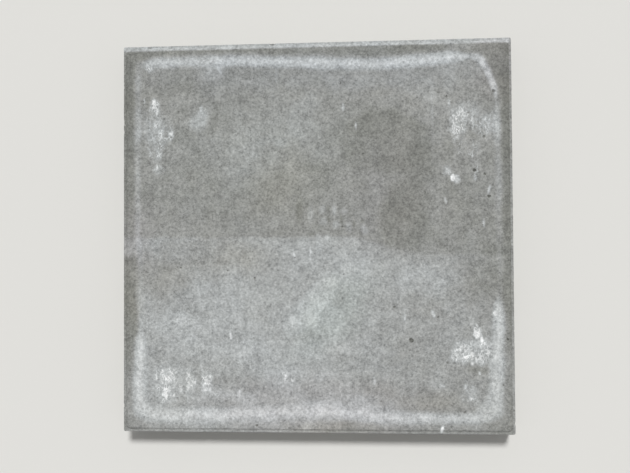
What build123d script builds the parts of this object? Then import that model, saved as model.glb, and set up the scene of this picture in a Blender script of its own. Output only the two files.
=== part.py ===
from build123d import *
import math
import os

# A square concrete paving slab, pressed in a steel mould and stored lying flat, walking face up.
# Millimetres. The origin is the middle of the underside, +Z points out of the walking face.

# Overall size
slab_length = 500.0
slab_width = 500.0
slab_thickness = 50.0

# Upright edges at the four corners, as the mould leaves them
upright_corner_radius = 2.5

# Margin round the walking face: a narrow level rim at the sides, then a bevel up to the face
rim_width = 3.2
bevel_width = 2.4
bevel_depth = 2.2
face_corner_radius = 4.0

# Edges softened by the mould and by handling
bevel_crest_radius = 0.6
bevel_root_radius = 0.4
rim_arris_radius = 0.7
foot_arris = 1.2

# The rim lies below the face by the depth of the bevel
rim_height = slab_thickness - bevel_depth
bevel_angle = math.degrees(math.atan2(bevel_width, bevel_depth))

# The bevel starts inside the rim, and its corners turn round the same centres as the face's
bevel_foot_length = slab_length - 2 * rim_width
bevel_foot_width = slab_width - 2 * rim_width
bevel_foot_radius = face_corner_radius + bevel_width


with BuildPart() as paving_slab:
    # Body up to the rim, with upright sides
    with BuildSketch(Plane.XY):
        RectangleRounded(slab_length, slab_width, upright_corner_radius)
    extrude(amount=rim_height)

    # Raised walking face on its sloping bevel
    with BuildSketch(Plane.XY.offset(rim_height)):
        RectangleRounded(bevel_foot_length, bevel_foot_width, bevel_foot_radius)
    extrude(amount=bevel_depth, taper=bevel_angle)

    # The level faces from the ground up: underside, rim and walking face
    underside, rim, walking_face = paving_slab.faces().filter_by(Axis.Z).sort_by(Axis.Z)
    crest_edges = walking_face.outer_wire().edges()
    root_edges = rim.inner_wires()[0].edges()
    arris_edges = rim.outer_wire().edges()
    foot_edges = underside.outer_wire().edges()

    # Worn crest, rounded root and arris, and the broken lower edge
    fillet(crest_edges, radius=bevel_crest_radius)
    fillet(root_edges, radius=bevel_root_radius)
    fillet(arris_edges, radius=rim_arris_radius)
    chamfer(foot_edges, length=foot_arris)

paving_slab.part.label = "paving_slab"

os.makedirs("parts", exist_ok=True)
export_step(paving_slab.part, "parts/paving_slab.step")
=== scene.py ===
import math
import random
from collections import namedtuple

import bmesh
import bpy
from mathutils import Euler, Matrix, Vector


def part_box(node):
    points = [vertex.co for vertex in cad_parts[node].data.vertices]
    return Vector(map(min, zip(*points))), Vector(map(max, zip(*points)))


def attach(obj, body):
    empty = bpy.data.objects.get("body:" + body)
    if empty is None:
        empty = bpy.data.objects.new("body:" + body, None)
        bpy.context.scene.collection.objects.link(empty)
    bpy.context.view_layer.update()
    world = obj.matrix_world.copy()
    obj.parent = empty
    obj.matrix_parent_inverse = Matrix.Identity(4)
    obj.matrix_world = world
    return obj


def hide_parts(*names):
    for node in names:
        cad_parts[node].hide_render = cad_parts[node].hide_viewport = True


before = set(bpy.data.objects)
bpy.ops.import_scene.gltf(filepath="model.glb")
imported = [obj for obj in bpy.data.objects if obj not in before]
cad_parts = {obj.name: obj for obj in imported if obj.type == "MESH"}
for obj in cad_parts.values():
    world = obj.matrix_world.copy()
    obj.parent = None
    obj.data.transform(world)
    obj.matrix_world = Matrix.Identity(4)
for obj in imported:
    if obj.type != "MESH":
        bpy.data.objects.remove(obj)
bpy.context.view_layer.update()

bl_info = {
    "name": "Concrete paving slab",
    "version": (1, 0, 0),
    "blender": (4, 5, 0),
    "location": "View3D > Sidebar > Paving slab",
    "description": "Casts a pressed concrete paving slab with lime bloom and lights it on a plain floor",
    "category": "Add Mesh",
}

# Units and the solid that the slab has to fill
MM = 0.001
SLAB_NODE = "paving_slab"
SLAB_LOW, SLAB_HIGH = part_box(SLAB_NODE)
SLAB_LENGTH = SLAB_HIGH.x - SLAB_LOW.x
SLAB_WIDTH = SLAB_HIGH.y - SLAB_LOW.y
SLAB_THICKNESS = SLAB_HIGH.z - SLAB_LOW.z

# Mesh spacing. Each side of an outline is cut twice over, by the first number and then by the second
CORNER_SEGMENTS = 6
SIDE_CUTS = (19, 14)
FACE_CELL = 2.5 * MM
UNDERSIDE_CELL = 8.0 * MM
SIDE_ROWS = 22
PORE_CUTS = 4

# Falls in the section that keep neighbouring outlines at different heights
RIM_FALL = 0.15 * MM
FACE_HOLLOW = 0.03 * MM
UNDERSIDE_HOLLOW = 0.05 * MM

# How far the section's corners are softened, on each side of the corner
CREST_REACH = 0.45 * MM
ROOT_REACH = 0.4 * MM
ARRIS_REACH = 0.7 * MM

# Bands inside the crest and inside the foot, before the level grids start
FACE_BAND = 3 * MM
FACE_BAND_RADIUS_LOSS = 2.5 * MM
UNDERSIDE_BAND = 4 * MM


def linear(hex_colour):
    """Turns an sRGB hex colour, such as #9a9b96, to the linear values that shaders and lights take."""
    values = [int(hex_colour[i:i + 2], 16) / 255 for i in (1, 3, 5)]
    return tuple(v / 12.92 if v <= 0.04045 else ((v + 0.055) / 1.055) ** 2.4 for v in values)


class PavingSlabShape(bpy.types.PropertyGroup):
    """Sizes of the slab's margin and of its fine relief."""

    rim_width: bpy.props.FloatProperty(
        name="Rim width", description="Level rim between the side and the bevel",
        default=3.2 * MM, min=1 * MM, unit="LENGTH")
    bevel_width: bpy.props.FloatProperty(
        name="Bevel width", description="Bevel's width, seen from above",
        default=2.4 * MM, min=0.5 * MM, unit="LENGTH")
    bevel_depth: bpy.props.FloatProperty(
        name="Bevel depth", description="How far the rim lies below the walking face",
        default=2.2 * MM, min=0.5 * MM, unit="LENGTH")
    face_corner_radius: bpy.props.FloatProperty(
        name="Face corner radius", description="Corner radius of the walking face, in plan",
        default=4.0 * MM, min=1 * MM, unit="LENGTH")
    upright_corner_radius: bpy.props.FloatProperty(
        name="Upright corner radius", description="Radius of the four upright corners",
        default=2.5 * MM, min=1 * MM, unit="LENGTH")
    foot_arris: bpy.props.FloatProperty(
        name="Foot arris", description="Broken edge round the underside",
        default=1.2 * MM, min=0.2 * MM, unit="LENGTH")
    face_unevenness: bpy.props.FloatProperty(
        name="Face unevenness", description="Depth of the shallow waves in the walking face",
        default=0.25 * MM, min=0, unit="LENGTH")
    side_roughness: bpy.props.FloatProperty(
        name="Side roughness", description="Depth of the relief in the sides",
        default=0.7 * MM, min=0, unit="LENGTH")
    pore_count: bpy.props.IntProperty(
        name="Pores", description="Open pores scattered over the walking face",
        default=60, min=0, max=400)
    seed: bpy.props.IntProperty(
        name="Seed", description="Choice of where the scattered pores fall", default=7, min=0)


class PavingSlabFinish(bpy.types.PropertyGroup):
    """Colours of the concrete, from bare cement to thick lime bloom."""

    # The darkest stop is damp cement and also stands for the painted shade in the pores and pinholes
    damp_cement_and_pore_shade: bpy.props.FloatVectorProperty(
        name="Damp cement", description="Darkest cement, inside the pores",
        subtype="COLOR", size=3, default=linear("#6f706b"))
    bare_cement: bpy.props.FloatVectorProperty(
        name="Bare cement", description="Cement with no lime on it, as along the margin",
        subtype="COLOR", size=3, default=linear("#878884"))
    grey_cement: bpy.props.FloatVectorProperty(
        name="Grey cement", description="Common grey of the walking face",
        subtype="COLOR", size=3, default=linear("#979896"))
    thin_bloom: bpy.props.FloatVectorProperty(
        name="Thin bloom", description="Cement under a haze of lime",
        subtype="COLOR", size=3, default=linear("#adb0b0"))
    thick_bloom: bpy.props.FloatVectorProperty(
        name="Thick bloom", description="Lime of the tide line round the face",
        subtype="COLOR", size=3, default=linear("#c1c4c4"))
    chalk: bpy.props.FloatVectorProperty(
        name="Chalk", description="Loose lime in scuffs",
        subtype="COLOR", size=3, default=linear("#f0f1f1"))


class PavingSlabStage(bpy.types.PropertyGroup):
    """Floor, light and camera."""

    floor_colour: bpy.props.FloatVectorProperty(
        name="Floor", description="Colour of the plain floor",
        subtype="COLOR", size=3, default=linear("#e0dfdb"))
    key_share: bpy.props.FloatProperty(
        name="Key share",
        description="Part of the light that comes from the key lamp, the rest from all round",
        default=0.68, min=0, max=1, subtype="FACTOR")
    key_angle: bpy.props.FloatProperty(
        name="Key angle", description="How wide the key lamp looks from the slab, which softens the shadows",
        default=math.radians(10), min=0, max=math.radians(60), unit="ROTATION")
    view_height: bpy.props.FloatProperty(
        name="View height", description="Distance from the camera to the walking face",
        default=1.185, min=0.3, unit="LENGTH")


# Outline rings of the slab's skin

Ring = namedtuple("Ring", "inset height radius")


def between(a, b, share):
    """The ring that lies that share of the way from a to b."""
    return Ring(*(p + (q - p) * share for p, q in zip(a, b)))


def softened(before, corner, after, reach):
    """Three rings that round a corner of the section, starting that far from it on each side."""
    def step(towards):
        distance = math.hypot(towards.inset - corner.inset, towards.height - corner.height)
        return between(corner, towards, reach / distance)

    start, end = step(before), step(after)
    return [start, between(between(start, end, 0.5), corner, 0.5), end]


def section_rings(shape):
    """The slab's section from the walking face out over the margin and down to the underside.
    Each entry is a ring and the number of plain rows between it and the next."""
    crest_inset = shape.rim_width + shape.bevel_width
    rim_height = SLAB_THICKNESS - shape.bevel_depth

    inner = Ring(
        crest_inset + FACE_BAND, SLAB_THICKNESS - FACE_HOLLOW,
        shape.face_corner_radius - FACE_BAND_RADIUS_LOSS)
    crest = Ring(crest_inset, SLAB_THICKNESS, shape.face_corner_radius)
    root = Ring(shape.rim_width, rim_height, shape.face_corner_radius + shape.bevel_width)
    arris = Ring(0, rim_height - RIM_FALL, shape.upright_corner_radius)
    foot_top = Ring(0, shape.foot_arris, shape.upright_corner_radius)
    foot = Ring(shape.foot_arris, 0, shape.upright_corner_radius - shape.foot_arris)
    under = Ring(shape.foot_arris + UNDERSIDE_BAND, UNDERSIDE_HOLLOW, foot.radius)

    rings = [(inner, 1)]
    rings += zip(softened(inner, crest, root, CREST_REACH), (0, 0, 1))
    rings += zip(softened(crest, root, arris, ROOT_REACH), (0, 0, 1))
    rings += zip(softened(root, arris, foot_top, ARRIS_REACH), (0, 0, SIDE_ROWS))
    rings += [(foot_top, 0), (foot, 1), (under, 0)]
    return rings


# Building the skin in edit mode

ROW_BETWEEN = -1


def select_edges(mesh, wanted):
    """Selects just the edges that pass the test, in edit mode."""
    bpy.ops.mesh.select_all(action="DESELECT")
    work = bmesh.from_edit_mesh(mesh)
    for edge in work.edges:
        if wanted(edge):
            edge.select = True
    work.select_flush_mode()
    bmesh.update_edit_mesh(mesh)


def number_new_vertices(mesh, number, first=0):
    """Gives that ring number to every vertex from first on or, with no first, to those that have none."""
    work = bmesh.from_edit_mesh(mesh)
    layer = work.verts.layers.int["ring"]
    work.verts.ensure_lookup_table()
    for vertex in work.verts[first:]:
        if first or vertex[layer] == 0:
            vertex[layer] = number
    bmesh.update_edit_mesh(mesh)


def add_ring(mesh, ring, number):
    """Adds one closed outline, a rectangle with rounded corners and evenly divided sides."""
    bpy.ops.mesh.select_all(action="DESELECT")
    bpy.ops.mesh.primitive_plane_add(size=1, location=(0, 0, ring.height))
    bpy.ops.transform.resize(value=(SLAB_LENGTH - 2 * ring.inset, SLAB_WIDTH - 2 * ring.inset, 1))
    bpy.ops.mesh.bevel(offset=ring.radius, segments=CORNER_SEGMENTS, affect="VERTICES")
    bpy.ops.mesh.delete(type="ONLY_FACE")
    layer = bmesh.from_edit_mesh(mesh).verts.layers.int["ring"]
    long_side = min(SLAB_LENGTH, SLAB_WIDTH) / 2
    select_edges(mesh, lambda e: e.verts[0][layer] == 0 and e.calc_length() > long_side)
    for cuts in SIDE_CUTS:
        bpy.ops.mesh.subdivide(number_cuts=cuts)
    number_new_vertices(mesh, number)


def bridge_rings(mesh, first, second, rows):
    """Joins two rings with faces, in that many rows and one more."""
    work = bmesh.from_edit_mesh(mesh)
    layer = work.verts.layers.int["ring"]
    count = len(work.verts)

    def on_either_ring(edge):
        a, b = edge.verts[0][layer], edge.verts[1][layer]
        return a == b and a in (first, second)

    select_edges(mesh, on_either_ring)
    bpy.ops.mesh.bridge_edge_loops(number_cuts=rows, interpolation="LINEAR")
    if rows:
        number_new_vertices(mesh, ROW_BETWEEN, first=count)


def close_with_grid(mesh, ring, number, grid_number, cell, height):
    """Closes a ring with a level grid of faces that lies just inside it, at a slightly different height."""
    length = SLAB_LENGTH - 2 * (ring.inset + cell)
    width = SLAB_WIDTH - 2 * (ring.inset + cell)
    bpy.ops.mesh.select_all(action="DESELECT")
    bpy.ops.mesh.primitive_grid_add(
        x_subdivisions=round(length / cell), y_subdivisions=round(width / cell), size=1,
        location=(0, 0, height))
    bpy.ops.transform.resize(value=(length, width, 1))
    number_new_vertices(mesh, grid_number)
    layer = bmesh.from_edit_mesh(mesh).verts.layers.int["ring"]

    def on_either_side(edge):
        a, b = edge.verts[0][layer], edge.verts[1][layer]
        return a == b and (a == number or (a == grid_number and edge.is_boundary))

    select_edges(mesh, on_either_side)
    bpy.ops.mesh.bridge_edge_loops()


def build_skin(shape):
    """Makes the slab's closed skin and returns its object, still smooth."""
    bpy.ops.object.select_all(action="DESELECT")
    mesh = bpy.data.meshes.new("slab_skin")
    slab = bpy.data.objects.new("slab_concrete", mesh)
    bpy.context.scene.collection.objects.link(slab)
    bpy.context.view_layer.objects.active = slab
    slab.select_set(True)
    bpy.ops.object.mode_set(mode="EDIT")
    bpy.context.tool_settings.mesh_select_mode = (True, True, False)
    bmesh.from_edit_mesh(mesh).verts.layers.int.new("ring")

    rings = section_rings(shape)
    for number, (ring, _) in enumerate(rings, start=1):
        add_ring(mesh, ring, number)
    for number, (_, rows) in enumerate(rings[:-1], start=1):
        bridge_rings(mesh, number, number + 1, rows)
    last = len(rings)
    close_with_grid(mesh, rings[0][0], 1, last + 1, FACE_CELL, SLAB_THICKNESS)
    close_with_grid(mesh, rings[-1][0], last, last + 2, UNDERSIDE_CELL, 0)
    bpy.ops.mesh.select_all(action="SELECT")
    bpy.ops.mesh.normals_make_consistent(inside=False)
    bpy.ops.object.mode_set(mode="OBJECT")
    return slab


# Relief

# Below this depth under the top of the slab, a place isn't on the walking face
LEVEL_DEPTH = 1 * MM


def add_group(slab, name, weight_at):
    """Adds a vertex group whose weights come from each vertex's place."""
    group = slab.vertex_groups.new(name=name)
    for vertex in slab.data.vertices:
        weight = weight_at(vertex.co)
        if weight > 0:
            group.add([vertex.index], weight, "REPLACE")


def inset_at(place):
    """How far a point lies in from the nearest side."""
    return min(SLAB_LENGTH / 2 - abs(place.x), SLAB_WIDTH / 2 - abs(place.y))


def add_groups(slab, shape):
    """Adds a group for each part of the skin that wears in its own way."""
    crest_inset = shape.rim_width + shape.bevel_width
    rim_height = SLAB_THICKNESS - shape.bevel_depth
    side_top = rim_height - 1 * MM
    margin_end = crest_inset + 1 * MM
    face_fade, side_fade = 6 * MM, 4 * MM
    skin, foot = 0.5 * MM, 3 * MM

    def on_face(place):
        if place.z <= side_top:
            return 0
        return min(max((inset_at(place) - crest_inset) / face_fade, 0), 1)

    def on_margin(place):
        return 1 if place.z > side_top and inset_at(place) < margin_end else 0

    def on_side(place):
        if inset_at(place) >= skin:
            return 0
        return min(max((rim_height - place.z) / side_fade, 0), 1)

    def on_underside(place):
        return 1 if place.z < skin and inset_at(place) > foot else 0

    add_group(slab, "face", on_face)
    add_group(slab, "margin", on_margin)
    add_group(slab, "side", on_side)
    add_group(slab, "underside", on_underside)


# One pass of wear: its group, grain, depth and detail and, where only the peaks of its pattern sink,
# the value from 0 to 1 at which they start

Wear = namedtuple("Wear", "group grain depth detail threshold", defaults=(None,))


def wears_of(shape):
    """Shallow waves in the pressed face, nibbled edges along the margin and open relief in the sides."""
    uneven, rough = shape.face_unevenness, shape.side_roughness
    return (
        Wear("face", 110 * MM, uneven, 2),
        Wear("face", 9 * MM, uneven * 0.35, 2),
        Wear("margin", 26 * MM, 0.28 * MM, 2),
        Wear("margin", 5 * MM, 0.25 * MM, 3),
        Wear("margin", 7 * MM, 0.9 * MM, 2, 0.66),
        Wear("side", 24 * MM, rough * 0.5, 2),
        Wear("side", 5 * MM, rough * 0.6, 3),
        Wear("side", 6 * MM, rough * 1.6, 2, 0.64),
        Wear("underside", 30 * MM, 0.6 * MM, 3),
    )


def wear_down(slab, wear):
    """Sinks one group of the skin along its normals by up to the wear's depth."""
    texture = bpy.data.textures.new(f"{wear.group}_clouds", type="CLOUDS")
    texture.noise_scale = wear.grain
    texture.noise_depth = wear.detail
    if wear.threshold is not None:
        peak_fade = 0.12
        texture.use_color_ramp = True
        low, high = texture.color_ramp.elements
        low.position, low.color = wear.threshold, (1, 1, 1, 1)
        high.position, high.color = wear.threshold + peak_fade, (0, 0, 0, 1)
    modifier = slab.modifiers.new("wear", "DISPLACE")
    modifier.texture = texture
    modifier.texture_coords = "LOCAL"
    modifier.vertex_group = wear.group
    modifier.strength = wear.depth
    modifier.mid_level = 1.0
    bpy.ops.object.modifier_apply(modifier=modifier.name)


Pore = namedtuple("Pore", "x y radius")

# Open pores in the walking face: middle and radius in mm
PORES = (
    Pore(121, -132, 2.9), Pore(202, 82, 2.2), Pore(220, 49, 2.1), Pore(227, 182, 2.0),
    Pore(100, -90, 1.6), Pore(155, -103, 1.3), Pore(215, 77, 1.7), Pore(72, 125, 1.1),
    Pore(62, 105, 1.2), Pore(168, 176, 1.3), Pore(187, -222, 1.4), Pore(241, -130.5, 1.7),
    Pore(235, -188, 1.3), Pore(166, -160, 1.4), Pore(-78, -53, 1.5), Pore(-113, -43, 1.2),
    Pore(-76, -240.5, 1.7), Pore(-174, -39, 1.3), Pore(-135, 225, 1.2), Pore(140, 55, 1.2),
    Pore(-223, 177, 1.2), Pore(-26, -27, 1.1), Pore(34, 196, 1.1), Pore(214.5, 124.5, 1.6),
    Pore(195, 155, 1.4),
)

# Small pores strewn between them: their radii, and how far they stay from the sides, in mm
SMALL_PORE_RADII = (0.6, 1.0)
PORE_BORDER = 16

# A pore starts a little outside its radius and falls to its floor over the share PORE_WALL of it.
# From the deep radius up, in mm, it is PORE_DEPTH deep, and a smaller one is shallower
PORE_DEPTH = 1.5 * MM
PORE_LIP = 1.15
PORE_WALL = 0.55
DEEP_PORE_RADIUS = 2.0

# The furthest that a pore reaches from its middle, and how far past its radius the skin is refined,
# in mm. Nearer the sides than the border it isn't refined
PORE_REACH = 4
PORE_SURROUND = 1.3
REFINED_BORDER = 6.5 * MM


def all_pores(shape):
    """The named pores and smaller ones strewn between them, all on the level part of the face."""
    dice = random.Random(shape.seed)
    reach_x, reach_y = (side / MM / 2 - PORE_BORDER for side in (SLAB_LENGTH, SLAB_WIDTH))
    ranges = (-reach_x, reach_x), (-reach_y, reach_y), SMALL_PORE_RADII
    strewn = [Pore(*(dice.uniform(low, high) for low, high in ranges)) for _ in range(shape.pore_count)]
    return list(PORES) + strewn


def pore_depth(pores, place):
    """How deep the pores reach at a place, from 0 to 1. Their outlines are lobed, each in its own way."""
    if place.z < SLAB_THICKNESS - LEVEL_DEPTH:
        return 0
    x, y = place.x / MM, place.y / MM
    depth = 0
    for pore in pores:
        if abs(x - pore.x) < PORE_REACH and abs(y - pore.y) < PORE_REACH:
            heading = math.atan2(y - pore.y, x - pore.x)
            lobes = 1 + 0.14 * math.cos(2 * heading + pore.x) + 0.1 * math.cos(3 * heading + pore.y)
            away = math.hypot(x - pore.x, y - pore.y) / (pore.radius * lobes)
            wall = min(max((PORE_LIP - away) / PORE_WALL, 0), 1)
            depth = max(depth, wall * wall * (3 - 2 * wall) * min(pore.radius / DEEP_PORE_RADIUS, 1))
    return depth


def refine_round_pores(slab, pores):
    """Divides the faces of the walking face that lie at a pore."""
    inside = SLAB_LENGTH / 2 - REFINED_BORDER

    def at_a_pore(middle):
        if middle.z < SLAB_THICKNESS - LEVEL_DEPTH or max(abs(middle.x), abs(middle.y)) > inside:
            return False
        x, y = middle.x / MM, middle.y / MM
        return any(max(abs(x - pore.x), abs(y - pore.y)) < pore.radius + PORE_SURROUND for pore in pores)

    bpy.ops.object.mode_set(mode="EDIT")
    bpy.context.tool_settings.mesh_select_mode = (False, False, True)
    bpy.ops.mesh.select_all(action="DESELECT")
    for face in bmesh.from_edit_mesh(slab.data).faces:
        if at_a_pore(face.calc_center_median()):
            face.select = True
    bmesh.update_edit_mesh(slab.data)
    bpy.ops.mesh.subdivide(number_cuts=PORE_CUTS)
    bpy.ops.object.mode_set(mode="OBJECT")


def open_pores(slab, shape):
    """Refines the face round each pore and sinks a small ragged hollow into it."""
    pores = all_pores(shape)
    refine_round_pores(slab, pores)
    depths = slab.data.attributes.new("pore_depth", "FLOAT", "POINT")
    group = slab.vertex_groups.new(name="pore")
    for vertex in slab.data.vertices:
        depth = pore_depth(pores, vertex.co)
        if depth:
            depths.data[vertex.index].value = depth
            group.add([vertex.index], depth, "REPLACE")
    modifier = slab.modifiers.new("pore", "DISPLACE")
    modifier.vertex_group = group.name
    modifier.strength = -PORE_DEPTH
    modifier.mid_level = 0.0
    bpy.ops.object.modifier_apply(modifier=modifier.name)


# Material

def add(tree, kind, *values, **settings):
    """Adds a shader node with its settings and feeds its inputs in order; None leaves an input as it is."""
    node = tree.nodes.new("ShaderNode" + kind)
    for name, value in settings.items():
        setattr(node, name, value)
    sockets = [socket for socket in node.inputs if socket.enabled]
    for socket, value in zip(sockets, values):
        if isinstance(value, bpy.types.Node):
            value = next(out for out in value.outputs if out.enabled)
        if isinstance(value, bpy.types.NodeSocket):
            tree.links.new(value, socket)
        elif value is not None:
            socket.default_value = value
    return node


# Marks on the walking face: middle and half sizes in mm, turn in degrees, strength, and the share of
# its half size over which a mark is level before it fades.
# A tone is the concrete's grey level, from 0 to 255, so a cloud's strength is in grey levels.

Mark = namedtuple("Mark", "x y half_x half_y turn strength core", defaults=(0,))

BLOOM_CLOUDS = (
    Mark(-82, 118, 108, 60, 16, 15), Mark(-12, 156, 44, 48, 0, 10), Mark(-196, 162, 44, 30, 0, 5),
    Mark(74, 142, 52, 26, 0, -6), Mark(-140, 214, 36, 20, 0, 14), Mark(60, 194, 220, 34, 0, 7),
    Mark(158, 178, 74, 50, 0, 11), Mark(200, 212, 44, 22, 0, 6), Mark(-170, 196, 50, 34, 0, -6),
    Mark(92, 118, 66, 46, 0, -10, 0.75), Mark(12, 86, 34, 26, 0, -7), Mark(134, 84, 26, 38, 0, -9, 0.3),
    Mark(178, 104, 30, 30, 0, -4), Mark(212, 88, 30, 26, 0, -3), Mark(4, 170, 52, 22, 0, 6),
    Mark(-80, 12, 44, 20, 0, 6), Mark(114, 24, 46, 62, 0, -15, 0.5), Mark(200, 40, 60, 60, 0, -5),
    Mark(-50, 22, 34, 22, 0, 7), Mark(-150, -20, 100, 26, 0, -11, 0.5), Mark(-140, -44, 80, 20, 0, -6),
    Mark(-206, -50, 60, 40, 0, -15, 0.2), Mark(-65, -42, 60, 26, 0, -5),
    Mark(222, -52, 50, 64, 0, -17, 0.2), Mark(-4, -88, 62, 24, 50, 13, 0.5),
    Mark(14, -108, 30, 34, 0, 8, 0.4), Mark(-22, -112, 30, 16, 10, 8, 0.3),
    Mark(12, -165, 24, 50, 0, 6), Mark(42, -38, 46, 30, 40, 8, 0.2), Mark(90, -46, 120, 48, 0, 7),
    Mark(140, -58, 46, 26, 0, 11, 0.3), Mark(-180, -112, 80, 22, 0, 9, 0.4),
    Mark(-95, -80, 60, 30, 10, 5), Mark(-190, -76, 50, 30, 0, -4, 0.3), Mark(-152, -66, 30, 16, 0, 6),
    Mark(-80, -142, 190, 28, 0, 7), Mark(-38, -182, 34, 28, 20, 5),
    Mark(-110, -200, 190, 34, 0, -8, 0.4), Mark(-96, -212, 30, 14, 0, 12),
    Mark(20, -212, 110, 16, 0, 4, 0.3), Mark(64, -186, 64, 24, 0, -7, 0.2),
    Mark(200, -180, 44, 50, 0, -6, 0.3), Mark(160, -208, 70, 26, 0, -8, 0.3),
)

# Wiped and touched places, with crisper edges than the clouds

TOUCH_MARKS = (
    Mark(-150, 150, 21, 16, 40, 27, 0.25), Mark(-145, 157, 11, 13, 10, 17, 0.2),
    Mark(-146.5, 167, 3.5, 5.5, 0, 34, 0.3), Mark(-137, 164, 13, 12, 0, 11),
    Mark(-45, 121, 16, 10, 0, 12), Mark(-78, 105, 9, 11, 0, 8), Mark(-20, 32, 8, 24, 0, -19),
    Mark(-5, 30, 7, 19, 0, 13, 0.2), Mark(9, 34, 6, 10, -12, 16, 0.2), Mark(10, 19, 9, 8, 0, 19, 0.2),
    Mark(25, 33, 5, 11, 0, 19, 0.2), Mark(27, 15, 7, 8, 0, 22, 0.3), Mark(37, 32, 7, 6, 0, 16, 0.2),
    Mark(43, 11, 6, 11, 10, 17, 0.2), Mark(63, 8, 7, 10, 25, 19, 0.3), Mark(17, 22, 3.5, 5, 0, -30),
    Mark(17, 35, 3.5, 5, 0, -22), Mark(46, 26, 4, 4, 0, -12), Mark(34, 22, 3.5, 8, 0, -18),
    Mark(50, 16, 4, 7, 0, -26), Mark(60, 19, 4, 5, 0, -12), Mark(4, 0, 5, 8, 0, 15, 0.2),
    Mark(5, -14, 6, 12, 0, 10, 0.2), Mark(16, -2, 5, 8, 0, 12, 0.2), Mark(-6, 3, 8, 4, 0, -10),
    Mark(-122, 216, 4, 16, 25, 14), Mark(-48, 206, 3, 16, 0, 12), Mark(150, 150, 3, 80, 0, 8),
    Mark(178, 100, 3, 34, 0, 8), Mark(122, -50, 20, 5, 30, 9), Mark(206, -170, 22, 7, 0, -12, 0.4),
)

# Patches on the bare margin outside the tide line

MARGIN_PATCHES = (
    Mark(-240, -12, 26, 18, 0, 20, 0.4), Mark(-242, 30, 20, 60, 0, 6, 0.3),
    Mark(-242, -72, 14, 26, 0, -4, 0.2), Mark(-232, -70, 12, 64, 0, 6, 0.4),
    Mark(-242, 170, 20, 90, 0, -7, 0.5), Mark(-240, -196, 18, 24, 0, 5, 0.2),
    Mark(-240, -240, 24, 24, 0, -10, 0.2), Mark(244, 120, 20, 150, 0, -9, 0.6),
    Mark(243, -150, 18, 26, 0, 9, 0.2), Mark(240, -226, 40, 50, 0, -14, 0.3),
    Mark(-80, 240, 240, 16, 0, 5, 0.6), Mark(186, 243, 36, 12, 0, 20, 0.3),
    Mark(-90, -242, 150, 12, 0, 10, 0.5), Mark(50, -242, 50, 14, 0, -8, 0.4),
)

# The tide line that drying water left round the face: how far it bends inwards in mm,
# how strong it is, and where it is broader or finer

TIDE_LINE_BENDS = (
    Mark(62, 228, 170, 50, 0, 8.5), Mark(-40, 228, 300, 50, 0, 1, 0.7), Mark(-5, -228, 120, 50, 0, 7),
    Mark(-100, -228, 50, 50, 0, 2.5), Mark(-231, 60, 30, 250, 0, 2, 0.7),
    Mark(-231, -70, 24, 80, 0, 3.5, 0.3), Mark(-231, -165, 24, 76, 0, 3, 0.5),
    Mark(231, -176, 30, 60, 0, 3, 0.4), Mark(231, -112, 24, 50, 0, 1.5, 0.3),
)

TIDE_LINE_RUNS = (
    Mark(-130, 230, 118, 34, 0, 0.82, 0.6), Mark(-216, 230, 40, 20, 0, 0.32, 0.4),
    Mark(66, 222, 160, 44, 0, 0.9, 0.7), Mark(218, 207, 28, 50, 27, 0.85, 0.4),
    Mark(232, 110, 22, 130, 0, 0.28, 0.7), Mark(231, 140, 20, 50, 0, 0.36, 0.2),
    Mark(-230, 110, 22, 150, 0, 0.24, 0.8), Mark(-230, 150, 20, 60, 0, 0.32, 0.3),
    Mark(-231, -172, 26, 60, 0, 0.93, 0.7), Mark(-212, -222, 46, 34, 0, 0.92, 0.5),
    Mark(-120, -228, 130, 36, 0, 1.0, 0.7), Mark(40, -222, 140, 40, 0, 0.8, 0.7),
    Mark(170, -229, 80, 32, 0, 0.66, 0.6), Mark(218, -212, 44, 40, 0, 0.62, 0.5),
    Mark(231, -138, 26, 72, 0, 0.92, 0.55), Mark(231, -196, 30, 50, 0, 0.7, 0.4),
)

TIDE_LINE_SPREAD = (
    Mark(218, 207, 34, 54, 27, -0.6, 0.5), Mark(30, -212, 96, 50, 0, 0.6, 0.3),
    Mark(60, 218, 110, 44, 0, 0.2, 0.4), Mark(222, -192, 34, 50, 0, 0.9, 0.3),
)

# Loose chalk: scuffs with ragged edges, and single specks

CHALK_SCUFFS = (
    Mark(-207, 168, 10, 20, 8, 1.15, 0.2), Mark(-207, 138, 26, 44, 4, 0.8, 0.3),
    Mark(-206, 108, 18, 22, 0, 0.85), Mark(-203, 89, 11, 12, 0, 1.1), Mark(-213, 221, 15, 12, 0, 1.0),
    Mark(-187, 136, 9, 15, 0, 1.0), Mark(-192, -187, 28, 32, 0, 1.05, 0.4),
    Mark(-195, -204, 22, 16, 0, 0.95), Mark(-178, -190, 18, 24, 0, 0.95),
    Mark(-164, -186, 16, 24, 0, 1.05, 0.2), Mark(-140, -186, 12, 24, 0, 1.15, 0.3),
    Mark(-118, -200, 60, 16, 0, 0.5), Mark(-98, -201, 7, 13, 0, 0.9),
    Mark(184, 142, 20, 34, -10, 1.1, 0.3), Mark(196, 150, 24, 32, 0, 0.85, 0.2),
    Mark(216, 138, 26, 26, 0, 0.85, 0.2), Mark(203, 103, 12, 46, 0, 0.75),
    Mark(190, 114, 24, 34, 0, 0.6), Mark(168, 82, 10, 12, 20, 0.9),
    Mark(204, -122, 8, 14, 14, 1.5, 0.3), Mark(190, -146, 22, 20, 8, 1.1, 0.4),
    Mark(206, -146, 24, 24, 0, 1.0, 0.4), Mark(178, -152, 18, 12, 35, 1.0, 0.3),
    Mark(196, -197, 24, 34, 0, 0.75), Mark(-96, -150, 16, 13, 0, 1.0), Mark(-38, -180, 34, 34, 0, 0.64),
    Mark(-172, -108, 34, 15, 0, 0.5), Mark(-8, -94, 44, 26, 50, 0.35),
)

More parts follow.
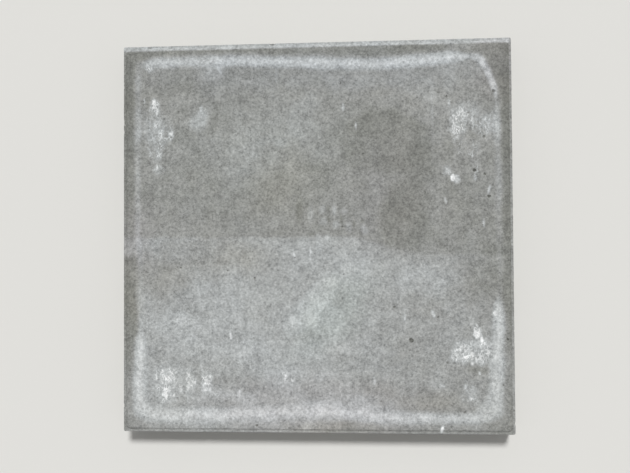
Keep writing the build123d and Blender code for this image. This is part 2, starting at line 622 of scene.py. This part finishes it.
CHALK_SPECKS = (
    Mark(175, 73, 4, 6, 0, 1.0, 0.5), Mark(180, 71, 6, 8, 0, 0.55, 0.3), Mark(168, 84, 3, 4, 0, 0.6),
    Mark(165, 79, 6, 6, 0, 0.25), Mark(-109, -126, 3, 7, 0, 0.8, 0.2),
    Mark(226, -98, 4, 4, 0, 0.9, 0.2), Mark(159, -243, 3, 8, -14, 0.95, 0.3),
    Mark(37, 165, 3, 9, 0, 0.5), Mark(53, 141, 2.5, 8, 0, 0.55), Mark(220, 57, 3, 9, -15, 0.6),
    Mark(203, 73, 3, 8, 0, 0.6), Mark(213, 15, 3, 8, 0, 0.6), Mark(166, 44, 2.5, 7, 15, 0.45),
    Mark(171, 168, 3, 7, 0, 0.55), Mark(74, -183, 3, 8, 0, 0.5), Mark(113, -104, 2.5, 7, 0, 0.45),
    Mark(149, -99, 3, 8, 15, 0.55), Mark(159, -189, 5, 4, 0, 0.55), Mark(-6, -21, 2, 11, 0, 0.6),
    Mark(-27, -23, 1.8, 9, 0, 0.5), Mark(-98, -200, 2.5, 9, 0, 0.7), Mark(-209, 176, 4, 7, 0, 0.9, 0.3),
    Mark(-205, 164, 3, 8, -10, 0.8, 0.2), Mark(-222, 178, 2.5, 6, 0, 0.6),
    Mark(-186, 135, 4, 6, 0, 0.9, 0.2), Mark(202, -124, 4, 9, 10, 0.95, 0.3),
    Mark(209, -130, 3.5, 8, 10, 0.95, 0.3), Mark(197, -149, 6, 5, -35, 0.85, 0.2),
    Mark(207, -155, 4, 4, 0, 0.75, 0.2), Mark(197, -161, 4, 3.5, 0, 0.8, 0.2),
    Mark(208, -162, 4, 3, 0, 0.6), Mark(206, -173, 3, 4, 0, 0.6), Mark(188, -190, 3, 5, 0, 0.7),
    Mark(195, -205, 5, 4, 0, 0.75), Mark(226, -152, 5, 5, 0, 0.6),
    Mark(-194, -202, 4.5, 7, 0, 0.95, 0.3), Mark(-190, -185, 4, 6, 25, 0.8),
    Mark(-206, -191, 3, 8, 0, 0.7), Mark(-140, -184, 4, 7, 25, 0.85, 0.2),
    Mark(-143, -196, 5, 4, 20, 0.75), Mark(-163, -188, 3.5, 7, 15, 0.7),
    Mark(-147, -167, 2, 11, 12, 0.5), Mark(-165, -207, 2, 9, 0, 0.5), Mark(-175, -196, 4, 5, 0, 0.65),
    Mark(-183, -181, 3, 6, 0, 0.6),
)

# Brown stains and, below zero, cool places

WARM_STAINS = (
    Mark(-42, 60, 70, 80, 0, 1.0), Mark(-95, -25, 60, 34, 0, 0.8), Mark(-190, -50, 60, 30, 0, 0.5),
    Mark(10, -243, 110, 14, 0, 1.0), Mark(150, -210, 70, 20, 0, 0.8), Mark(-238, -80, 20, 70, 0, 0.9),
    Mark(0, 216, 300, 40, 0, -0.7, 0.4),
)

# Where the lime looks a little green or, below zero, a little rosy

GREEN_TINTS = (
    Mark(20, -98, 100, 48, 45, 1.2, 0.2), Mark(-70, 110, 210, 120, 0, 0.5, 0.2),
    Mark(0, -216, 210, 56, 0, -0.9, 0.3), Mark(88, 62, 76, 116, 0, -0.55, 0.3),
    Mark(-236, 0, 40, 64, 0, -0.8, 0.3), Mark(240, 220, 50, 70, 0, -0.8, 0.3),
)

# Tones: the darkest and palest that the colours reach, and those of each part. The near half's runs from
# left to right, and the margin's towards the near side
DARKEST_TONE, PALEST_TONE = 111, 241
FAR_HALF_TONE = 146.5
NEAR_HALF_TONES = (169, 158.5)
MARGIN_TONES = (130, 153)
TIDE_LINE_TONE = 202
# Painted highlight: the far bevel and the right rim face the key lamp and are drawn paler, over edges rubbed
# pale
FAR_BEVEL_HIGHLIGHT_TONE = 180
RIGHT_RIM_HIGHLIGHT_TONE = 155
CHALK_TONE = 232
SIDE_TONE = 148
# Painted shade: tone taken off in the pores and pinholes, together with some dirt in them
HOLLOW_PAINTED_SHADE = 36

# How far in from the side the far bevel and the right rim turn pale with a painted highlight, and how far
# below the rim the sides' bloomless concrete takes over, all in mm
FAR_BEVEL_HIGHLIGHT_BAND = (8.5, 5.5)
RIGHT_RIM_HIGHLIGHT_BAND = (4, 2.5)
SIDE_BAND = (0.2, 1.4)

# How far the tide line lies from the slab's middle, in mm, to the sides and to the ends, and how rounded
# its far and near corners are. At the far right corner it cuts straight across, facing that way and that
# far from the middle
TIDE_LINE_SIDES, TIDE_LINE_ENDS = 231.5, 229
TIDE_LINE_ROUNDINGS = (14, 48)
CORNER_CUT_WAY = (0.890, 0.457, 0)
CORNER_CUT_REACH = 290
CORNER_CUT_ROUNDING = 18
TIDE_LINE_OUTER_WIDTHS = (4, 15)
TIDE_LINE_INNER_WIDTHS = (4, 24)
TIDE_LINE_FAINTEST = 0.16

# Sizes of the patterns, in mm. Real sand is 0.2 to 1 mm and real chalk threads are about 1 mm.
# Both are too fine to show, so they are drawn coarser
SAND_GRAIN = 1.5
GRIT_GRAIN = 1.2
CHALK_THREAD = 3.6
PINHOLE_SPACING = 6
MOULD_DRAG_SPACING = 2.6
PRESS_STREAK_SPACING = 2.4

# Clouds in the cement, as grain in mm and tone, and patches in its grain, as grain in mm and contrast
CEMENT_CLOUDS = ((70, 3), (24, 7))
GRAIN_PATCHES = ((9, 0.15), (3.4, 0.25))
SAND_CONTRAST = 0.17
GRIT_CONTRAST = 0.12
STREAK_CONTRAST = 0.04
# Painted shade: brightness taken off inside the pores
PORE_PAINTED_SHADE = 0.22

# Tints as factors for red, green and blue, and what a green tint takes from red and from blue
COOL_LIME = (0.995, 1.0, 1.004)
WARM_STAIN = (1.012, 1.0, 0.969)
GREEN_TINT_LOSSES = ((0, -0.024), (2, -0.014))

SMOOTH = {"interpolation_type": "SMOOTHSTEP"}


def mark_mask(tree, parts, mark):
    """A soft oval, as strong as the mark says in its middle and 0 at its edge.
    It takes single numbers and no clamp, so that the renderer adds marks up one by one. With vectors
    it would hold them all at once, which is more than its shaders have room for."""
    turn = math.radians(mark.turn)
    axes = ((math.cos(turn), math.sin(turn), mark.half_x), (-math.sin(turn), math.cos(turn), mark.half_y))
    square = 0
    for east, north, half in axes:
        away = -(mark.x * east + mark.y * north) / half
        for axis, share in (("X", east), ("Y", north)):
            if abs(share) > 1e-6:
                away = add(tree, "Math", parts.outputs[axis], share / half, away, operation="MULTIPLY_ADD")
        square = add(tree, "Math", away, away, square, operation="MULTIPLY_ADD")
    reach = add(tree, "Math", square, operation="SQRT")
    return add(tree, "MapRange", reach, 1, mark.core, 0, mark.strength, clamp=False, **SMOOTH)


def joined(tree, parts):
    """The sum of a few parts."""
    total = parts[0]
    for part in parts[1:]:
        total = add(tree, "Math", total, part, operation="ADD")
    return total


def marks_of(tree, place, marks, operation="ADD"):
    """All the marks of a list, joined one by one."""
    parts = add(tree, "SeparateXYZ", place)
    total = mark_mask(tree, parts, marks[0])
    for mark in marks[1:]:
        total = add(tree, "Math", total, mark_mask(tree, parts, mark), operation=operation)
    return total


def noise_about_zero(tree, place, grain, amount, detail=2, roughness=0.5):
    """Noise with that grain in mm, from about -amount to amount."""
    noise = add(tree, "TexNoise", place, 1 / grain, detail, roughness)
    return add(tree, "MapRange", noise, 0.25, 0.75, -amount, amount, clamp=False)


def shifted(tree, place, grain, amount):
    """The place pushed about by noise, so that what is drawn there has natural edges."""
    noise = add(tree, "TexNoise", place, 1 / grain, 2, 0.5)
    centred = add(tree, "VectorMath", noise.outputs["Color"], (0.5, 0.5, 0.5), operation="SUBTRACT")
    push = add(tree, "VectorMath", centred, (2 * amount,) * 3, operation="MULTIPLY")
    return add(tree, "VectorMath", place, push, operation="ADD")


def tide_line(tree, place):
    """Returns the share of lime in the line left by drying water round the face,
    and how far a place lies outside that line, in mm."""
    wavy = shifted(tree, shifted(tree, place, 60, 3), 10, 1.2)
    parts = add(tree, "SeparateXYZ", wavy)
    across = add(tree, "Math", parts.outputs["X"], operation="ABSOLUTE")
    along = add(tree, "Math", parts.outputs["Y"], operation="ABSOLUTE")
    side_gap = add(tree, "Math", across, TIDE_LINE_SIDES, operation="SUBTRACT")
    end_gap = add(tree, "Math", along, TIDE_LINE_ENDS, operation="SUBTRACT")
    rounding = add(tree, "MapRange", parts.outputs["Y"], 50, -120, *TIDE_LINE_ROUNDINGS)
    square = add(tree, "Math", side_gap, end_gap, rounding, operation="SMOOTH_MAX")
    corner_reach = add(tree, "VectorMath", wavy, CORNER_CUT_WAY, operation="DOT_PRODUCT").outputs["Value"]
    corner_cut = add(tree, "Math", corner_reach, CORNER_CUT_REACH, operation="SUBTRACT")
    line = add(tree, "Math", square, corner_cut, CORNER_CUT_ROUNDING, operation="SMOOTH_MAX")
    line = joined(tree, [line, marks_of(tree, place, TIDE_LINE_BENDS)])

    runs = marks_of(tree, place, TIDE_LINE_RUNS, "MAXIMUM")
    runs = add(tree, "Math", runs, TIDE_LINE_FAINTEST, operation="MAXIMUM")
    strength = joined(tree, [runs, noise_about_zero(tree, place, 16, 0.1)])
    spread = joined(tree, [runs, marks_of(tree, place, TIDE_LINE_SPREAD)])
    outer_width = add(tree, "MapRange", spread, 0, 1, *TIDE_LINE_OUTER_WIDTHS)
    inner_width = add(tree, "MapRange", spread, 0, 2, *TIDE_LINE_INNER_WIDTHS)
    outside = add(tree, "Math", line, outer_width, operation="DIVIDE")
    inside = add(tree, "Math", line, inner_width, operation="DIVIDE")
    inside = add(tree, "Math", inside, -1, operation="MULTIPLY")
    share = add(tree, "Math", outside, inside, operation="MAXIMUM")
    profile = add(tree, "MapRange", share, 1, 0, 0, 1, **SMOOTH)
    return add(tree, "Math", profile, strength, operation="MULTIPLY", use_clamp=True), line


def chalk_scuffs(tree, place):
    """Share of loose chalk: a thin haze where the face was scuffed, a net of fine threads in it,
    drawn out along the slab as rubbing leaves them, and single specks."""
    marks = marks_of(tree, shifted(tree, place, 10, 5), CHALK_SCUFFS, "MAXIMUM")
    drawn_out = add(tree, "VectorMath", place, (1, 0.5, 1), operation="MULTIPLY")
    net = add(tree, "Math", noise_about_zero(tree, drawn_out, CHALK_THREAD, 1), operation="ABSOLUTE")
    threads = add(tree, "MapRange", net, 0.34, 0.04, 0, 1)
    patchy = joined(tree, [marks, noise_about_zero(tree, drawn_out, 6, 0.7)])
    patchy = add(tree, "MapRange", patchy, 0.5, 1.6, 0, 0.95)
    threads = add(tree, "Math", threads, patchy, operation="MULTIPLY")
    near_mark = add(tree, "MapRange", marks, 0, 0.35, 0, 1)
    threads = add(tree, "Math", threads, near_mark, operation="MULTIPLY")
    cloudy = joined(tree, [noise_about_zero(tree, place, 5, 0.12), 0.24])
    haze = add(tree, "Math", marks, cloudy, operation="MULTIPLY")
    scuffs = add(tree, "Math", threads, haze, operation="ADD", use_clamp=True)
    specks = marks_of(tree, shifted(tree, place, 4, 1.5), CHALK_SPECKS, "MAXIMUM")
    return add(tree, "Math", scuffs, specks, operation="MAXIMUM")


def face_tone(tree, place):
    """Tone of the walking face and its margin. Places are in mm."""
    soft = shifted(tree, shifted(tree, place, 60, 12), 16, 5)
    parts = add(tree, "SeparateXYZ", shifted(tree, place, 30, 3))

    # A wet edge once dried across the middle: the near half has more lime
    droop = add(tree, "MapRange", parts.outputs["X"], 30, 150, 0, 24, **SMOOTH)
    from_edge = joined(tree, [parts.outputs["Y"], droop])
    near_half = add(tree, "MapRange", parts.outputs["X"], 0, 130, *NEAR_HALF_TONES, **SMOOTH)
    limed = add(tree, "MapRange", from_edge, 4, -4, 0, 1, **SMOOTH)
    tone = add(tree, "Mix", limed, FAR_HALF_TONE, near_half)
    crisp = shifted(tree, place, 9, 2)
    tone = joined(tree, [tone, marks_of(tree, soft, BLOOM_CLOUDS), marks_of(tree, crisp, TOUCH_MARKS)])

    # Bare cement outside the tide line, paler along the near side
    lime, line = tide_line(tree, place)
    bare = add(tree, "MapRange", parts.outputs["Y"], -120, -232, *MARGIN_TONES, **SMOOTH)
    bare = joined(tree, [bare, marks_of(tree, place, MARGIN_PATCHES)])
    outside = add(tree, "MapRange", line, 2, 10, 0, 0.9, **SMOOTH)
    tone = add(tree, "Mix", outside, tone, bare)
    tone = add(tree, "Mix", lime, tone, TIDE_LINE_TONE)

    # The far bevel and its rim get a painted highlight where they face the key lamp, over an edge rubbed
    # pale, and the rim on the right a little
    edges = add(tree, "SeparateXYZ", place)
    far_highlight_band = (SLAB_WIDTH / 2 / MM - inset for inset in FAR_BEVEL_HIGHLIGHT_BAND)
    far = add(tree, "MapRange", edges.outputs["Y"], *far_highlight_band, 0, 1, **SMOOTH)
    tone = add(tree, "Mix", far, tone, FAR_BEVEL_HIGHLIGHT_TONE)
    right_highlight_band = (SLAB_LENGTH / 2 / MM - inset for inset in RIGHT_RIM_HIGHLIGHT_BAND)
    right = add(tree, "MapRange", edges.outputs["X"], *right_highlight_band, 0, 0.8)
    tone = add(tree, "Mix", right, tone, RIGHT_RIM_HIGHLIGHT_TONE)
    return add(tree, "Mix", chalk_scuffs(tree, place), tone, CHALK_TONE)


def pinhole_depth(tree, place, on_side):
    """Depth of the small pinholes, from 0 to 1. They are larger in the sides than in the face."""
    ragged = shifted(tree, shifted(tree, place, 7, 4), 1.3, 0.9)
    bubbles = add(tree, "TexVoronoi", ragged, 1 / PINHOLE_SPACING)
    kind = add(tree, "SeparateXYZ", bubbles.outputs["Color"])
    side_size = add(tree, "MapRange", kind.outputs["X"], 0.5, 1, 0, 0.24)
    face_size = add(tree, "Math", side_size, 0.45, operation="MULTIPLY")
    size = add(tree, "Mix", on_side, face_size, side_size)
    wall = add(tree, "Math", size, bubbles.outputs["Distance"], operation="SUBTRACT")
    return add(tree, "MapRange", wall, 0, 0.05, 0, 1, **SMOOTH)


def cement_colours(tree, tone, finish):
    """The colour of each tone, from damp cement, which also gives the painted shade in the pores, to chalk.
    """
    share = add(tree, "MapRange", tone, DARKEST_TONE, PALEST_TONE, 0, 1)
    colours = add(tree, "ValToRGB", share)
    stops = (
        (0.0, finish.damp_cement_and_pore_shade), (0.19, finish.bare_cement), (0.32, finish.grey_cement),
        (0.50, finish.thin_bloom), (0.65, finish.thick_bloom), (1.0, finish.chalk))
    ramp = colours.color_ramp
    while len(ramp.elements) < len(stops):
        ramp.elements.new(0.5)
    for element, (position, colour) in zip(ramp.elements, stops):
        element.position, element.color = position, (*colour, 1)
    return colours


def brightness_of_grains(tree, place, sand, tone, pores):
    """Brightness about 1: sand grains that thick lime half hides, faint streaks left by the press,
    small clouds, and painted shade inside the pores. All of it is neutral grey."""
    sand_grey = add(tree, "SeparateXYZ", sand.outputs["Color"]).outputs["X"]
    grit = joined(tree, [
        add(tree, "MapRange", sand_grey, 0, 1, -SAND_CONTRAST, SAND_CONTRAST),
        noise_about_zero(tree, place, GRIT_GRAIN, GRIT_CONTRAST, detail=3, roughness=0.7)])
    lime_cover = add(tree, "MapRange", tone, 168, 200, 1, 0.6)
    streaked = add(tree, "VectorMath", place, (1, 0.06, 0.06), operation="MULTIPLY")
    return joined(tree, [
        add(tree, "Math", grit, lime_cover, operation="MULTIPLY"),
        noise_about_zero(tree, streaked, PRESS_STREAK_SPACING, STREAK_CONTRAST),
        *(noise_about_zero(tree, place, grain, contrast) for grain, contrast in GRAIN_PATCHES),
        add(tree, "Math", pores, -PORE_PAINTED_SHADE, operation="MULTIPLY"),
        1])


def tint_of_lime(tree, place):
    """Factors for red, green and blue. Iron in the sand stains some places brown, thick lime elsewhere is
    cool, and lime is a little green or rosy in places."""
    stains = marks_of(tree, shifted(tree, place, 40, 14), WARM_STAINS)
    drift = joined(tree, [stains, 0.25, noise_about_zero(tree, place, 50, 0.35)])
    hue = [
        add(tree, "MapRange", drift, 0, 1, cool, warm, clamp=False)
        for cool, warm in zip(COOL_LIME, WARM_STAIN)]
    green = marks_of(tree, shifted(tree, place, 40, 14), GREEN_TINTS)
    for channel, loss in GREEN_TINT_LOSSES:
        hue[channel] = add(tree, "Math", green, loss, hue[channel], operation="MULTIPLY_ADD")
    return add(tree, "CombineXYZ", *hue)


def pressed_concrete(shape, finish):
    """Pressed grey concrete: fine sand bound in cement and pressed in a steel mould. To the eye it is matt
    and speckled, with pale lime bloom that water has drawn to the walking face."""
    material = bpy.data.materials.new("pressed_concrete")
    material.use_nodes = True
    tree = material.node_tree
    shader = tree.nodes["Principled BSDF"]

    metres = add(tree, "TexCoord").outputs["Object"]
    place = add(tree, "VectorMath", metres, (1 / MM,) * 3, operation="MULTIPLY")
    height = add(tree, "SeparateXYZ", place).outputs["Z"]

    # Sides and underside have the same concrete with no bloom, and the sides show how they left the mould
    side_band = ((SLAB_THICKNESS - shape.bevel_depth) / MM - fall for fall in SIDE_BAND)
    on_side = add(tree, "MapRange", height, *side_band, 0, 1)
    drawn_up = add(tree, "VectorMath", place, (1, 1, 0.05), operation="MULTIPLY")
    drag = noise_about_zero(tree, drawn_up, MOULD_DRAG_SPACING, 5)
    side_tone = joined(tree, [noise_about_zero(tree, place, 28, 9, detail=3), drag, SIDE_TONE])
    tone = add(tree, "Mix", on_side, face_tone(tree, place), side_tone)

    # Pores and pinholes are darker, with painted shade and some dirt in them, and the cement has clouds
    pinholes = pinhole_depth(tree, place, on_side)
    pores = add(tree, "Attribute", attribute_name="pore_depth").outputs["Fac"]
    hollow = add(tree, "Math", pinholes, pores, operation="MAXIMUM")
    shade = add(tree, "Math", hollow, HOLLOW_PAINTED_SHADE, operation="MULTIPLY")
    tone = add(tree, "Math", tone, shade, operation="SUBTRACT")
    for grain, amount in CEMENT_CLOUDS:
        tone = joined(tree, [tone, noise_about_zero(tree, place, grain, amount)])

    colours = cement_colours(tree, tone, finish)
    sand = add(tree, "TexVoronoi", shifted(tree, place, 1.4, 0.5), 1 / SAND_GRAIN)
    brightness = brightness_of_grains(tree, place, sand, tone, pores)
    tint = tint_of_lime(tree, place)
    tinted = add(tree, "VectorMath", colours.outputs["Color"], tint, operation="MULTIPLY")
    speckled = add(tree, "VectorMath", tinted, operation="SCALE")
    tree.links.new(brightness.outputs[0], speckled.inputs["Scale"])
    tree.links.new(speckled.outputs[0], shader.inputs["Base Color"])

    # Relief too fine for the mesh, in mm: sand under the skin, drag lines, shallow dimples and pinholes
    side_drag = add(tree, "Math", drag, on_side, operation="MULTIPLY")
    relief = joined(tree, [
        add(tree, "Math", sand.outputs["Distance"], -0.12, operation="MULTIPLY"),
        add(tree, "Math", side_drag, 0.02, operation="MULTIPLY"),
        noise_about_zero(tree, place, GRIT_GRAIN, 0.05, detail=3, roughness=0.65),
        noise_about_zero(tree, place, 5, 0.14, detail=3),
        add(tree, "Math", pinholes, -0.5, operation="MULTIPLY")])
    bump = add(tree, "Bump", 1, MM)
    tree.links.new(relief.outputs[0], bump.inputs["Height"])
    tree.links.new(bump.outputs["Normal"], shader.inputs["Normal"])
    shader.inputs["Roughness"].default_value = 0.9
    shader.inputs["IOR"].default_value = 1.5
    shader.inputs["Specular IOR Level"].default_value = 0.35
    return material


# Stage, with lengths in metres and widths in the image in pixels

FLOOR_SIZE = 60.0
KEY_DISTANCE = 3.0
KEY_ELEVATION = math.radians(64)
KEY_HEADING = math.radians(14)
IMAGE_WIDTH = 630
SLAB_WIDTH_IN_IMAGE = 392
CAMERA_LEAN = Euler((math.radians(1.6), math.radians(4.8), math.radians(-0.34)))


# Operators

class PAVING_OT_cast_slab(bpy.types.Operator):
    """Casts the slab's skin, wears it and gives it its concrete"""

    bl_idname = "paving.cast_slab"
    bl_label = "Cast the slab"

    def execute(self, context):
        shape = context.scene.paving_slab_shape
        slab = build_skin(shape)
        add_groups(slab, shape)
        for wear in wears_of(shape):
            wear_down(slab, wear)
        open_pores(slab, shape)
        bpy.ops.object.shade_smooth()
        slab.data.materials.append(pressed_concrete(shape, context.scene.paving_slab_finish))
        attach(slab, "root")
        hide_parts(SLAB_NODE)
        return {"FINISHED"}


def plain_floor(colour):
    """Matt painted floor, with no pattern."""
    material = bpy.data.materials.new("matt_floor_paint")
    material.use_nodes = True
    shader = material.node_tree.nodes["Principled BSDF"]
    shader.inputs["Base Color"].default_value = (*colour, 1)
    shader.inputs["Roughness"].default_value = 0.85
    shader.inputs["Specular IOR Level"].default_value = 0.2
    return material


class PAVING_OT_set_stage(bpy.types.Operator):
    """Lays the floor, sets the lights and places the camera above the slab"""

    bl_idname = "paving.set_stage"
    bl_label = "Set the stage"

    def execute(self, context):
        stage = context.scene.paving_slab_stage
        lay_floor(stage)
        set_lights(context.scene, stage)
        place_camera(context.scene, stage)
        context.scene.view_settings.view_transform = "Standard"
        return {"FINISHED"}


def lay_floor(stage):
    """A wide level floor under the slab."""
    bpy.ops.mesh.primitive_plane_add(size=FLOOR_SIZE, location=(0, 0, SLAB_LOW.z))
    floor = bpy.context.object
    floor.name = "floor"
    floor.data.materials.append(plain_floor(stage.floor_colour))


def set_lights(scene, stage):
    """One soft key lamp, far off beyond the slab's far side, and even light from all round.
    Together they light a level surface so that its colour renders as it is written."""
    towards = Vector((
        math.sin(KEY_HEADING) * math.cos(KEY_ELEVATION),
        math.cos(KEY_HEADING) * math.cos(KEY_ELEVATION),
        math.sin(KEY_ELEVATION)))
    lamp = bpy.data.lights.new("key_lamp", "SUN")
    lamp.angle = stage.key_angle
    lamp.energy = math.pi * stage.key_share / math.sin(KEY_ELEVATION)
    key = bpy.data.objects.new("key_lamp", lamp)
    key.location = towards * KEY_DISTANCE
    key.rotation_euler = towards.to_track_quat("Z", "Y").to_euler()
    scene.collection.objects.link(key)

    world = bpy.data.worlds.new("even_light")
    world.use_nodes = True
    tree = world.node_tree
    light = tree.nodes["Background"]
    light.inputs["Color"].default_value = (1, 1, 1, 1)
    light.inputs["Strength"].default_value = 1 - stage.key_share
    backdrop = add(tree, "Background", (*stage.floor_colour, 1), 1)
    ray = add(tree, "LightPath").outputs
    seen = joined(tree, [ray["Is Camera Ray"], ray["Is Glossy Ray"], ray["Is Transmission Ray"]])
    both = add(tree, "MixShader", seen, light, backdrop)
    tree.links.new(both.outputs[0], tree.nodes["World Output"].inputs["Surface"])
    scene.world = world


def place_camera(scene, stage):
    """Looks down on the middle of the walking face at the photograph's angle."""
    data = bpy.data.cameras.new("camera")
    data.sensor_width = 36.0
    share = SLAB_WIDTH_IN_IMAGE / IMAGE_WIDTH
    data.lens = data.sensor_width * share * stage.view_height / SLAB_LENGTH
    camera = bpy.data.objects.new("camera", data)
    camera.rotation_euler = CAMERA_LEAN
    back = CAMERA_LEAN.to_matrix() @ Vector((0, 0, 1))
    camera.location = Vector((0, 0, SLAB_HIGH.z)) + back * stage.view_height
    scene.collection.objects.link(camera)
    scene.camera = camera


class PAVING_PT_sidebar(bpy.types.Panel):
    """Lists the slab's settings and its two operators"""

    bl_idname = "PAVING_PT_sidebar"
    bl_label = "Paving slab"
    bl_space_type = "VIEW_3D"
    bl_region_type = "UI"
    bl_category = "Paving slab"

    def draw(self, context):
        for group in (
                context.scene.paving_slab_shape, context.scene.paving_slab_finish,
                context.scene.paving_slab_stage):
            box = self.layout.box()
            for name in group.bl_rna.properties.keys():
                if name not in ("rna_type", "name"):
                    box.prop(group, name)
        for operator in (PAVING_OT_cast_slab, PAVING_OT_set_stage):
            self.layout.operator(operator.bl_idname)


CLASSES = (
    PavingSlabShape, PavingSlabFinish, PavingSlabStage,
    PAVING_OT_cast_slab, PAVING_OT_set_stage, PAVING_PT_sidebar)


def register():
    for cls in CLASSES:
        bpy.utils.register_class(cls)
    bpy.types.Scene.paving_slab_shape = bpy.props.PointerProperty(type=PavingSlabShape)
    bpy.types.Scene.paving_slab_finish = bpy.props.PointerProperty(type=PavingSlabFinish)
    bpy.types.Scene.paving_slab_stage = bpy.props.PointerProperty(type=PavingSlabStage)


def unregister():
    del bpy.types.Scene.paving_slab_stage
    del bpy.types.Scene.paving_slab_finish
    del bpy.types.Scene.paving_slab_shape
    for cls in reversed(CLASSES):
        bpy.utils.unregister_class(cls)


def main():
    """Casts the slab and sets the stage."""
    register()
    bpy.ops.paving.cast_slab()
    bpy.ops.paving.set_stage()


if __name__ == "__main__":
    main()
